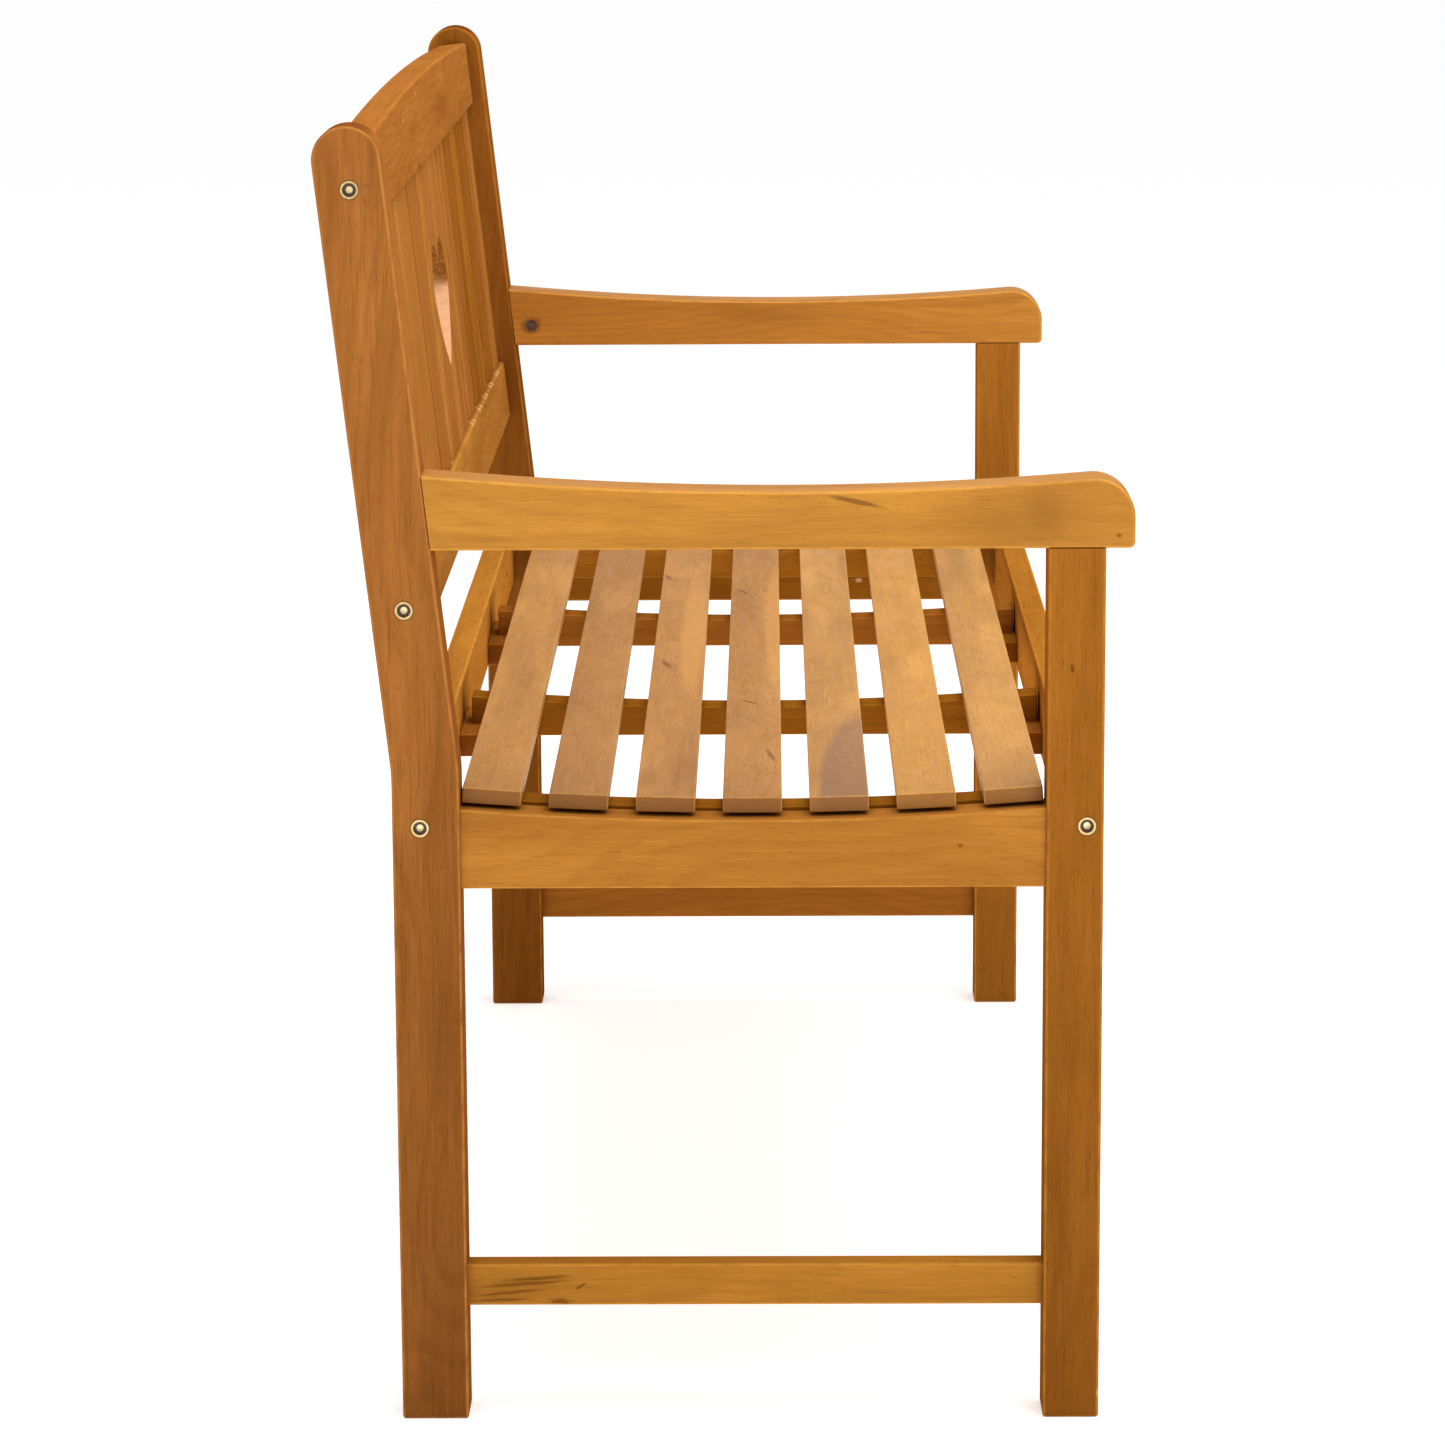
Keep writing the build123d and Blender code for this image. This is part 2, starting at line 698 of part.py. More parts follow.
for index in range(slat_count):
    export(seat_slat(index), f"seat_slat_{slat_count - index}")

left_end_bearer = end_bearer(-end_bearer_x)
export(left_end_bearer, "end_bearer_left")
export_mirrored(left_end_bearer, "end_bearer_right")
left_mid_bearer = mid_bearer(-mid_bearer_x)
export(left_mid_bearer, "middle_bearer_left")
export_mirrored(left_mid_bearer, "middle_bearer_right")
for face_y, place in ((front_inner_y, "front"), (rear_rail_y, "rear")):
    block = cleat(-mid_bearer_x, face_y)
    export(block, f"cleat_{place}_left")
    export_mirrored(block, f"cleat_{place}_right")

export(seat_rail_bolts(), "seat_rail_bolts")
export(back_rail_bolts(), "back_rail_bolts")
export(armrest_bolts(), "armrest_bolts")
export(seat_rail_nuts(), "seat_rail_nuts")
export(back_rail_nuts(), "back_rail_nuts")
export(armrest_nuts(), "armrest_nuts")
export(rail_dowels(), "rail_dowels")
export(armrest_dowels(), "armrest_dowels")
export(seat_slat_screws(), "seat_slat_screws")
export(end_bearer_screws(), "end_bearer_screws")
export(cleat_screws(), "cleat_screws")
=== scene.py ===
import math

import bpy
from mathutils import Matrix, Vector

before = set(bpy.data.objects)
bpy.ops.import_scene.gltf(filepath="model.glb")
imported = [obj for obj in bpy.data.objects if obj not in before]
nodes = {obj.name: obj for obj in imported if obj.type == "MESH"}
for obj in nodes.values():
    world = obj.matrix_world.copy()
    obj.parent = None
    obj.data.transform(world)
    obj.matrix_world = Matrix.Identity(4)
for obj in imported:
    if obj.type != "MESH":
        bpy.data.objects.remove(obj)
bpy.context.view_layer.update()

# Where the CAD pieces are, in metres.
RAKE = math.radians(6.28)
HALF_LENGTH = 0.600
LEG_THICKNESS = 0.038
LEG_X = HALF_LENGTH - LEG_THICKNESS / 2
LEFT_FACE = -HALF_LENGTH
RIGHT_INNER_FACE = HALF_LENGTH - LEG_THICKNESS
SIDE_RAIL_FACE = LEFT_FACE + 0.004
STRETCHER_FACE = LEFT_FACE + 0.008
SLAT_TOP = 0.440
FRONT_LEG_Y = -0.236
REAR_LEG_Y = 0.207

# Radii on the head of a leg bolt.
SOCKET_RADIUS = 0.0023
RECESS_RADIUS = 0.0042
FLANGE_RADIUS = 0.0063

# How the coordinates turn so that the grain runs along X of the wood's own space.
ALONG_X = (0.0, 0.0, 0.0)
ALONG_Y = (0.0, 0.0, -math.pi / 2)
ALONG_Z = (0.0, math.pi / 2, 0.0)
ALONG_BACK = (RAKE, math.pi / 2, 0.0)


class Tree:
    """A material's node tree with short calls for the nodes the wood and metal need."""

    def __init__(self, name):
        self.material = bpy.data.materials.new(name)
        self.material.use_nodes = True
        self.tree = self.material.node_tree
        self.tree.nodes.clear()
        self.shader = self.node("ShaderNodeBsdfPrincipled")
        output = self.node("ShaderNodeOutputMaterial")
        self.tree.links.new(self.shader.outputs[0], output.inputs["Surface"])

    def node(self, kind, **settings):
        made = self.tree.nodes.new(kind)
        for key, value in settings.items():
            setattr(made, key, value)
        return made

    def put(self, socket, value):
        if isinstance(value, bpy.types.NodeSocket):
            self.tree.links.new(value, socket)
        else:
            socket.default_value = value

    def turned(self, source, turn):
        made = self.node("ShaderNodeVectorRotate", rotation_type="EULER_XYZ")
        self.put(made.inputs["Vector"], source)
        made.inputs["Rotation"].default_value = turn
        return made.outputs[0]

    def parts(self, vector):
        made = self.node("ShaderNodeSeparateXYZ")
        self.put(made.inputs[0], vector)
        return made.outputs[0], made.outputs[1], made.outputs[2]

    def vector(self, operation, a, b=(0, 0, 0)):
        made = self.node("ShaderNodeVectorMath", operation=operation)
        self.put(made.inputs[0], a)
        self.put(made.inputs[1], b)
        scalar = operation in ("LENGTH", "DOT_PRODUCT")
        return made.outputs["Value" if scalar else "Vector"]

    def math(self, operation, a, b=0.0, c=0.0):
        made = self.node("ShaderNodeMath", operation=operation)
        self.put(made.inputs[0], a)
        self.put(made.inputs[1], b)
        self.put(made.inputs[2], c)
        return made.outputs[0]

    def times(self, a, b):
        return self.math("MULTIPLY", a, b)

    def noise(self, vector, stretch, detail=3.0, rough=0.55):
        made = self.node("ShaderNodeTexNoise", noise_dimensions="3D")
        self.put(made.inputs["Vector"], self.vector("MULTIPLY", vector, stretch))
        made.inputs["Scale"].default_value = 1.0
        made.inputs["Detail"].default_value = detail
        made.inputs["Roughness"].default_value = rough
        return made.outputs[0], made.outputs[1]

    def ramp(self, value, low, high, to_low=0.0, to_high=1.0):
        made = self.node("ShaderNodeMapRange", interpolation_type="SMOOTHSTEP", clamp=True)
        self.put(made.inputs["Value"], value)
        made.inputs["From Min"].default_value = low
        made.inputs["From Max"].default_value = high
        made.inputs["To Min"].default_value = to_low
        made.inputs["To Max"].default_value = to_high
        return made.outputs["Result"]

    def blend(self, factor, a, b):
        made = self.node("ShaderNodeMix", data_type="RGBA", clamp_factor=True)
        self.put(made.inputs[0], factor)
        self.put(made.inputs[6], a)
        self.put(made.inputs[7], b)
        return made.outputs[2]

    def bump(self, height, distance, strength):
        made = self.node("ShaderNodeBump")
        made.inputs["Distance"].default_value = distance
        made.inputs["Strength"].default_value = strength
        self.put(made.inputs["Height"], height)
        return made.outputs[0]


def shade(colour, gain, warm=1.0):
    """The colour made lighter or darker, and redder where warm is over 1."""
    return (colour[0] * gain, colour[1] * gain / warm, colour[2] * gain / warm**2, 1.0)


def on_back(x, v, w):
    """Point of the raked back in metres: x along the bench, v up the rake, w to the front."""
    y = 0.2328 + v * math.sin(RAKE) - w * math.cos(RAKE)
    return (x, y, 0.7 + v * math.cos(RAKE) + w * math.sin(RAKE))


# Heads of the bolts through the left-hand legs; the right-hand ones mirror them.
TOP_BOLT = on_back(LEFT_FACE, 0.1585, 0.0)
LOW_BOLT = on_back(LEFT_FACE, -0.1275, 0.0)
REAR_BOLT = (LEFT_FACE, 0.2105, 0.4225)
FRONT_BOLT = (LEFT_FACE, -0.2445, 0.4225)
LEG_BOLTS = (TOP_BOLT, LOW_BOLT, REAR_BOLT, FRONT_BOLT)


def mark_looks(tone):
    """Each kind of mark: outer and inner reach, strength, colour, raggedness of its edge."""
    return {
        "streak": (1.0, 0.4, 0.75, shade(tone, 0.34, 1.16), 0.9),
        "heartwood": (1.08, 0.88, 0.70, (0.275, 0.132, 0.070, 1.0), 0.12),
        "sapwood": (1.1, 0.6, 0.6, shade(tone, 1.32, 0.97), 0.5),
        "shadow": (1.1, 0.2, 0.45, shade(tone, 0.60, 1.10), 0.5),
        "chip": (1.0, 0.5, 0.80, (0.72, 0.44, 0.20, 1.0), 0.8),
        "fleck": (1.0, 0.3, 0.55, shade(tone, 0.55, 1.30), 0.7),
        # Painted shade round bolt heads and nuts.
        "shade_ring": (1.0, 0.60, 0.55, shade(tone, 0.22, 1.10), 0.30),
        "darker_towards_floor": (1.0, 0.0, 1.0, (0.56, 0.53, 0.50, 1.0), 0.0),
    }


def add_mark(t, colour, mark, plain, ragged, tone):
    """Lays one mark, an ellipsoid with a soft ragged edge, over the wood's colour."""
    kind, centre, half, across = mark
    looks = mark_looks(tone)
    roughness = looks[kind][4] if kind in looks else 0.8
    rough_edge = t.vector("MULTIPLY", ragged, (min(across, 0.03) * roughness,) * 3)
    off = t.vector("SUBTRACT", t.vector("ADD", plain, rough_edge), centre)
    squared = sum(h * h for h in half)
    along = t.math("DIVIDE", t.vector("DOT_PRODUCT", off, half), squared)
    along2 = t.times(along, along)
    beside2 = t.math("MULTIPLY_ADD", along2, -squared, t.vector("DOT_PRODUCT", off, off))
    reach = t.math("SQRT", t.math("MULTIPLY_ADD", beside2, 1 / across**2, along2))
    if kind == "knot":
        circles = t.math("SINE", t.times(reach, 15.0))
        colour = t.blend(t.ramp(reach, 1.9, 0.9, 0.0, 0.42), colour, shade(tone, 0.58, 1.14))
        colour = t.blend(t.ramp(reach, 1.05, 0.75, 0.0, 0.70), colour, shade(tone, 0.34, 1.25))
        inner = t.times(t.ramp(reach, 0.8, 0.5), t.ramp(circles, -0.2, 0.9, 0.0, 0.5))
        return t.blend(inner, colour, shade(tone, 0.50, 1.3))
    outer, inner, strength, look, _ = looks[kind]
    # Darker towards the floor: the colour is multiplied down near the foot.
    if kind == "darker_towards_floor":
        level = t.math("MAXIMUM", t.math("SUBTRACT", 1.0, reach), 0.0)
        return t.blend(level, colour, t.vector("MULTIPLY", colour, look[:3]))
    return t.blend(t.ramp(reach, outer, inner, 0.0, strength), colour, look)


def wood(name, tone, turn, seed, figure=0.5, marks=(), gloss=0.15, wear=0.5, reach=0.012):
    """Oiled hardwood as one solid block: growth rings round a far pith, fibres and pores along the grain.

    tone is the middle colour. marks are local features in the bench's own metres, each
    (kind, centre, half the long axis as a vector, half width across it). wear is how pale the
    corners are, reach how far from a joint the painted shade spreads.
    """
    t = Tree(name)
    plain = t.node("ShaderNodeTexCoord").outputs["Object"]
    grain = t.turned(plain, turn)
    place = t.vector("ADD", grain, (seed * 1.37, seed * 0.71, seed * 0.43))

    # Slow bends of the grain, then the rings as a distance from the pith.
    bend_y = t.noise(place, (2.2, 6.0, 6.0), 2.0, 0.5)[0]
    bend_z = t.noise(t.vector("ADD", place, (5.2, 3.1, 7.7)), (2.2, 6.0, 6.0), 2.0, 0.5)[0]
    _, y, z = t.parts(grain)
    y = t.math("MULTIPLY_ADD", bend_y, 0.16, t.math("ADD", y, 0.35))
    z = t.math("MULTIPLY_ADD", bend_z, 0.16, t.math("ADD", z, 0.22))
    radius = t.math("SQRT", t.math("ADD", t.times(y, y), t.times(z, z)))
    ring = t.math("FRACT", t.times(radius, 95.0))
    late = t.times(t.ramp(ring, 0.30, 0.85), t.ramp(ring, 1.0, 0.86))
    broad = t.noise(place, (2.6, 26.0, 26.0), 3.0, 0.5)[0]
    cloud = t.noise(t.vector("ADD", place, (9.0, 2.0, 4.0)), (7.0, 11.0, 11.0))[0]
    streak = t.noise(place, (9.0, 190.0, 190.0), 3.0, 0.6)[0]
    fine = t.noise(t.vector("ADD", place, (1.0, 4.0, 6.0)), (16.0, 480.0, 480.0), 3.0, 0.6)[0]
    fibre = t.noise(place, (45.0, 1100.0, 1100.0), 2.0, 0.6)[0]
    pores = t.noise(t.vector("ADD", place, (2.0, 8.0, 5.0)), (75.0, 1500.0, 1500.0), 1.0, 0.5)[0]
    pore = t.ramp(pores, 0.36, 0.28)

    light = shade(tone, 1.26, 0.97)
    dark = shade(tone, 0.68, 1.10)
    colour = t.blend(t.ramp(broad, 0.30, 0.70), dark, light)
    colour = t.blend(t.ramp(cloud, 0.36, 0.64), shade(tone, 0.92, 1.04), colour)
    colour = t.blend(0.28, colour, shade(tone, 1.0))
    colour = t.blend(t.times(late, 0.30 * figure), colour, shade(tone, 0.52, 1.16))
    colour = t.blend(t.ramp(streak, 0.56, 0.78, 0.0, 0.62 * figure), colour, shade(tone, 0.55, 1.12))
    colour = t.blend(t.ramp(streak, 0.42, 0.22, 0.0, 0.30), colour, shade(tone, 1.38, 0.96))
    colour = t.blend(t.ramp(fine, 0.54, 0.76, 0.0, 0.75 * figure), colour, shade(tone, 0.50, 1.12))
    colour = t.blend(t.ramp(fine, 0.46, 0.26, 0.0, 0.32), colour, shade(tone, 1.32, 0.97))
    colour = t.blend(t.ramp(fibre, 0.35, 0.70, 0.0, 0.22), colour, shade(tone, 0.70, 1.06))
    colour = t.blend(t.times(pore, 0.38), colour, shade(tone, 0.34, 1.15))

    ragged = t.vector("SUBTRACT", t.noise(plain, (70.0, 70.0, 70.0))[1], (0.5, 0.5, 0.5))
    for mark in marks:
        colour = add_mark(t, colour, mark, plain, ragged, tone)

    # End grain drinks more oil and is darker; rounded corners are worn to paler wood.
    normal = t.node("ShaderNodeNewGeometry").outputs["Normal"]
    along, side_a, side_b = t.parts(t.vector("ABSOLUTE", t.turned(normal, turn)))
    colour = t.blend(t.ramp(along, 0.55, 0.92, 0.0, 0.80), colour, shade(tone, 0.46, 1.28))
    # A corner's normal leans between two faces. On the legs, arms and side pieces only a lean
    # out of the YZ plane counts, so their curved tops aren't taken for corners.
    if turn in (ALONG_X, ALONG_BACK):
        beside = t.math("MAXIMUM", side_a, side_b)
        corner = t.math("MAXIMUM", t.times(side_a, side_b), t.times(along, beside))
    else:
        outward = t.parts(t.vector("ABSOLUTE", normal))[0]
        rest = t.math("MULTIPLY_ADD", t.times(outward, outward), -1.0, 1.0)
        corner = t.times(outward, t.math("SQRT", t.math("MAXIMUM", rest, 0.0)))
    patchy = t.noise(plain, (60.0, 60.0, 60.0), 2.0)[0]
    worn = t.times(t.ramp(corner, 0.16, 0.42), t.ramp(patchy, 0.30, 0.62, 0.35, 1.0))
    colour = t.blend(t.times(worn, wear), colour, shade(tone, 1.50, 0.93))

    # Painted shade darkens the joints and the gaps between pieces, wherever another surface lies near.
    crease = t.node("ShaderNodeAmbientOcclusion", samples=3)
    crease.inputs["Distance"].default_value = reach
    crease_shade = t.ramp(crease.outputs["AO"], 0.75, 0.20, 0.0, 0.65)
    colour = t.blend(crease_shade, colour, shade(tone, 0.30, 1.12))

    t.put(t.shader.inputs["Base Color"], colour)
    dull = t.noise(place, (30.0, 90.0, 90.0), 2.0)[0]
    roughness = t.math("MULTIPLY_ADD", pore, 0.2, t.ramp(dull, 0.2, 0.8, 0.43, 0.58))
    t.put(t.shader.inputs["Roughness"], roughness)
    t.shader.inputs["Specular IOR Level"].default_value = gloss
    height = t.math("MULTIPLY_ADD", pore, -0.7, t.times(fibre, 0.5))
    height = t.math("MULTIPLY_ADD", late, 0.35, height)
    t.put(t.shader.inputs["Normal"], t.bump(height, 0.00035, 0.55))
    return t


def heart_sawn(t, tone):
    """The sawn walls of the heart: painted light, pale, on the walls low down, and painted shade, dark
    with grain, in the lobes.
    """
    colour = t.shader.inputs["Base Color"].links[0].from_socket
    plain = t.node("ShaderNodeTexCoord").outputs["Object"]
    normal = t.node("ShaderNodeNewGeometry").outputs["Normal"]
    facing = t.math("ABSOLUTE", t.vector("DOT_PRODUCT", normal, (0.0, -math.cos(RAKE), math.sin(RAKE))))
    from_heart = t.vector("LENGTH", t.vector("SUBTRACT", plain, on_back(0.0, 0.015, 0.0)))
    sawn = t.times(t.ramp(facing, 0.75, 0.45), t.ramp(from_heart, 0.098, 0.092))
    bands = t.noise(plain, (300.0, 120.0, 300.0), 3.0)[0]
    # Painted light and shade: the low walls face up and are painted pale as if lit, the walls in the
    # lobes face down and are painted dark as in shade.
    lit_wall_paint = t.blend(t.ramp(bands, 0.35, 0.7), (0.80, 0.43, 0.22, 1.0), (0.72, 0.37, 0.18, 1.0))
    shaded_wall_paint = t.blend(t.ramp(bands, 0.42, 0.66), shade(tone, 0.50, 1.1), shade(tone, 0.85, 1.0))
    height = t.math("MULTIPLY_ADD", bands, 0.008, t.parts(plain)[2])
    walls = t.blend(t.ramp(height, 0.722, 0.733), lit_wall_paint, shaded_wall_paint)
    t.put(t.shader.inputs["Base Color"], t.blend(sawn, colour, walls))


def metal(name, colour, roughness, scratch, seed):
    """Plated metal: a slight cast in the plating, fine turning marks and a duller patch here and there.
    """
    t = Tree(name)
    plain = t.node("ShaderNodeTexCoord").outputs["Object"]
    place = t.vector("ADD", plain, (seed, seed * 0.3, 0))
    cloud = t.noise(place, (420.0, 420.0, 420.0))[0]
    fine = t.noise(place, (2600.0, 2600.0, 520.0), 2.0)[0]
    tint = t.blend(t.ramp(cloud, 0.35, 0.7), shade(colour, 0.78, 1.06), shade(colour, 1.08, 0.98))
    t.put(t.shader.inputs["Base Color"], tint)
    t.shader.inputs["Metallic"].default_value = 1.0
    t.put(t.shader.inputs["Roughness"], t.ramp(cloud, 0.3, 0.75, roughness - 0.06, roughness + 0.14))
    t.put(t.shader.inputs["Normal"], t.bump(fine, 0.00006, scratch))
    return t


def bright_rim(t):
    """On the bolts through the legs: the flange left as plain brass, a painted shadow at its edge,
    painted shade round the recess, a painted highlight in the socket.
    """
    tint = t.shader.inputs["Base Color"].links[0].from_socket
    plain = t.node("ShaderNodeTexCoord").outputs["Object"]
    away = None
    for _, y, z in LEG_BOLTS:
        off = t.vector("SUBTRACT", t.vector("MULTIPLY", plain, (0.0, 1.0, 1.0)), (0.0, y, z))
        length = t.vector("LENGTH", off)
        away = length if away is None else t.math("MINIMUM", away, length)
    past_socket = t.ramp(away, SOCKET_RADIUS - 0.0001, SOCKET_RADIUS + 0.0002)
    inside_rim = t.ramp(away, RECESS_RADIUS + 0.0008, RECESS_RADIUS + 0.0003)
    # Painted shade on the recess floor round the socket, where the metal is also turned off.
    recess_shade = t.times(past_socket, inside_rim)
    # Painted shadow: a thin dark ring at the flange's outer edge.
    edge = t.ramp(away, FLANGE_RADIUS - 0.0005, FLANGE_RADIUS - 0.0002)
    # Painted highlight: the socket is painted a paler brass, as a glint.
    socket = t.ramp(away, SOCKET_RADIUS + 0.0001, SOCKET_RADIUS - 0.0002)
    colour = t.blend(socket, tint, (0.98, 0.80, 0.46, 1.0))
    colour = t.blend(t.times(edge, 0.8), colour, (0.30, 0.15, 0.07, 1.0))
    t.put(t.shader.inputs["Base Color"], t.blend(recess_shade, colour, (0.10, 0.05, 0.018, 1.0)))
    t.put(t.shader.inputs["Metallic"], t.math("SUBTRACT", 1.0, recess_shade))


def dress(name, material):
    """Gives one CAD piece its material, leaving its mesh alone."""
    node = nodes[name]
    if not node.data.materials:
        node.data.materials.append(material)
    for place in node.material_slots:
        place.link = "OBJECT"
        place.material = material


# ---- the wood of each piece: middle colour, grain direction, figure, local marks ----
HONEY = (0.555, 0.236, 0.029)
AMBER = (0.44, 0.160, 0.021)
RUSSET = (0.33, 0.115, 0.015)
UMBER = (0.32, 0.118, 0.010)
LEG = (0.45, 0.164, 0.021)
BOARD = (0.44, 0.163, 0.031)
TAN = (0.51, 0.232, 0.046)
PALE = (0.60, 0.292, 0.062)


def foot(x, y):
    """Darkens a leg from the floor upward."""
    return ("darker_towards_floor", (x, y, 0.0), (0.0, 0.0, 0.80), 0.80)


def bolt_ring(centre):
    """Painted shade in the wood round a bolt's flange."""
    return ("shade_ring", centre, (0.0, 0.0078, 0.0), 0.0078)


# Each piece: (tone, grain direction, figure, marks), with the marks as wood() takes them.
FRAME_PIECES = {
    "rear_post_left": ((0.43, 0.157, 0.033), ALONG_Z, 0.75, [
        foot(-LEG_X, REAR_LEG_Y),
        bolt_ring(TOP_BOLT),
        bolt_ring(LOW_BOLT),
        bolt_ring(REAR_BOLT),
        ("fleck", (LEFT_FACE, 0.2391, 0.8605), (0.0, 0.0003, 0.0026), 0.0015),
        ("fleck", (LEFT_FACE, 0.2399, 0.8506), (0.0, 0.0003, 0.0024), 0.0014),
        ("shadow", (LEFT_FACE, 0.232, 0.720), (0.0, -0.01, 0.09), 0.012),
    ]),
    "rear_post_right": (RUSSET, ALONG_Z, 0.8, [
        foot(LEG_X, REAR_LEG_Y),
        ("shadow", (RIGHT_INNER_FACE, 0.200, 0.600), (0.0, 0.0, 0.11), 0.016),
    ]),
    "front_leg_left": (LEG, ALONG_Z, 0.55, [
        foot(-LEG_X, FRONT_LEG_Y),
        bolt_ring(FRONT_BOLT),
        ("knot", (LEFT_FACE, -0.2336, 0.5318), (0.0, 0.0004, 0.0032), 0.0013),
        ("chip", (-0.598, -0.2562, 0.0430), (0.0, 0.0, 0.0060), 0.0014),
        ("chip", (-0.599, -0.2558, 0.0180), (0.0, 0.0, 0.0045), 0.0018),
    ]),
    "front_leg_right": ((0.47, 0.178, 0.023), ALONG_Z, 0.5, [
        foot(LEG_X, FRONT_LEG_Y),
        ("shadow", (RIGHT_INNER_FACE, -0.2240, 0.5000), (0.0, 0.0, 0.12), 0.011),
    ]),
    "side_rail_left": ((0.48, 0.192, 0.031), ALONG_Y, 0.45, [
        ("knot", (SIDE_RAIL_FACE, -0.1583, 0.4086), (0.0, 0.0016, 0.0), 0.0011),
    ]),
    "side_rail_right": (UMBER, ALONG_Y, 0.5, [
        ("chip", (0.564, -0.1100, 0.3975), (0.0, 0.0040, 0.0), 0.0028),
    ]),
    "side_stretcher_left": ((0.455, 0.190, 0.026), ALONG_Y, 0.45, [
        ("shadow", (STRETCHER_FACE, 0.1500, 0.0930), (0.0, 0.0500, -0.0030), 0.0120),
        ("streak", (STRETCHER_FACE, 0.1540, 0.0895), (0.0, 0.0310, -0.0030), 0.0015),
        ("streak", (STRETCHER_FACE, 0.1440, 0.0958), (0.0, 0.0400, -0.0028), 0.0019),
        ("streak", (STRETCHER_FACE, 0.1345, 0.0998), (0.0, 0.0305, -0.0022), 0.0019),
        ("streak", (STRETCHER_FACE, 0.1590, 0.0842), (0.0, 0.0250, -0.0008), 0.0015),
        ("streak", (STRETCHER_FACE, 0.1045, 0.0940), (0.0, 0.0050, -0.0030), 0.0016),
        ("knot", (STRETCHER_FACE, 0.1190, 0.0822), (0.0, 0.0070, 0.0004), 0.0030),
    ]),
    "side_stretcher_right": (RUSSET, ALONG_Y, 0.6, []),
    "seat_front_rail": ((0.48, 0.187, 0.025), ALONG_X, 0.45, []),
    "seat_rear_rail": ((0.54, 0.218, 0.031), ALONG_X, 0.45, []),
    "end_bearer_left": (UMBER, ALONG_Y, 0.5, []),
    "end_bearer_right": (UMBER, ALONG_Y, 0.5, []),
    "middle_bearer_left": (UMBER, ALONG_Y, 0.6, []),
    "middle_bearer_right": (RUSSET, ALONG_Y, 0.6, []),
    "cleat_front_left": (RUSSET, ALONG_X, 0.5, []),
    "cleat_front_right": (UMBER, ALONG_X, 0.5, []),
    "cleat_rear_left": (AMBER, ALONG_X, 0.5, []),
    "cleat_rear_right": (RUSSET, ALONG_X, 0.5, []),
}

ARM_PIECES = {
    "armrest_left": (HONEY, ALONG_Y, 0.4, [
        ("streak", (LEFT_FACE, -0.0865, 0.6468), (0.0, 0.0245, 0.0052), 0.0022),
        ("shadow", (LEFT_FACE, -0.2150, 0.6390), (0.0, 0.008, 0.022), 0.016),
        ("shadow", (LEFT_FACE, -0.1950, 0.6350), (0.0, 0.070, 0.0), 0.030),
        ("knot", (LEFT_FACE, -0.2645, 0.6228), (0.0, 0.0016, 0.0), 0.0014),
        ("shadow", (LEFT_FACE, 0.1700, 0.6225), (0.0, 0.040, 0.0015), 0.0035),
    ]),
    "armrest_right": ((0.53, 0.215, 0.027), ALONG_Y, 0.5, [
        # Painted shade in the wood round the far nut.
        ("shade_ring", (RIGHT_INNER_FACE, 0.1858, 0.6320), (0.0, 0.0110, 0.0), 0.0090),
        ("shadow", (RIGHT_INNER_FACE, -0.020, 0.640), (0.0, 0.060, 0.004), 0.010),
    ]),
}

# Splinters knocked off the lower rail's top edge beside the boards.
SPLINTERS = [
    ("chip", on_back(x, -0.0970 - 0.0190 * x**2, 0.0096), (0.0075, 0.0, 0.0), 0.0030)
    for x in (0.106, 0.128, 0.201, 0.223, 0.282, 0.304, 0.364, 0.386, 0.459, 0.481)
]
BACK_PIECES = {
    "back_top_rail": (BOARD, ALONG_X, 0.6, [
        ("chip", (-0.2332, 0.2402, 0.8766), (0.0050, 0.0, 0.0010), 0.0016),
        ("chip", (-0.0854, 0.2411, 0.8854), (0.0030, 0.0, 0.0030), 0.0014),
        ("knot", (-0.1349, 0.2353, 0.8322), (0.0090, 0.0, 0.0), 0.0035),
        ("shadow", (0.1500, 0.2400, 0.8600), (0.1200, 0.0, 0.0), 0.0140),
    ]),
    "back_bottom_rail": ((0.47, 0.195, 0.034), ALONG_X, 0.5, SPLINTERS),
    "back_heart_board": ((0.465, 0.184, 0.037), ALONG_BACK, 0.9, []),
    "back_board_1": (BOARD, ALONG_BACK, 0.5, []),
    "back_board_2": ((0.45, 0.175, 0.036), ALONG_BACK, 0.6, []),
    "back_board_3": ((0.47, 0.190, 0.038), ALONG_BACK, 0.7, []),
    "back_board_4": ((0.44, 0.168, 0.034), ALONG_BACK, 0.6, []),
    "back_board_5": (BOARD, ALONG_BACK, 0.7, []),
    "back_board_6": (RUSSET, ALONG_BACK, 0.6, []),
    "back_board_7": (AMBER, ALONG_BACK, 0.7, []),
    "back_board_8": (RUSSET, ALONG_BACK, 0.6, []),
    "back_board_9": (BOARD, ALONG_BACK, 0.6, []),
}

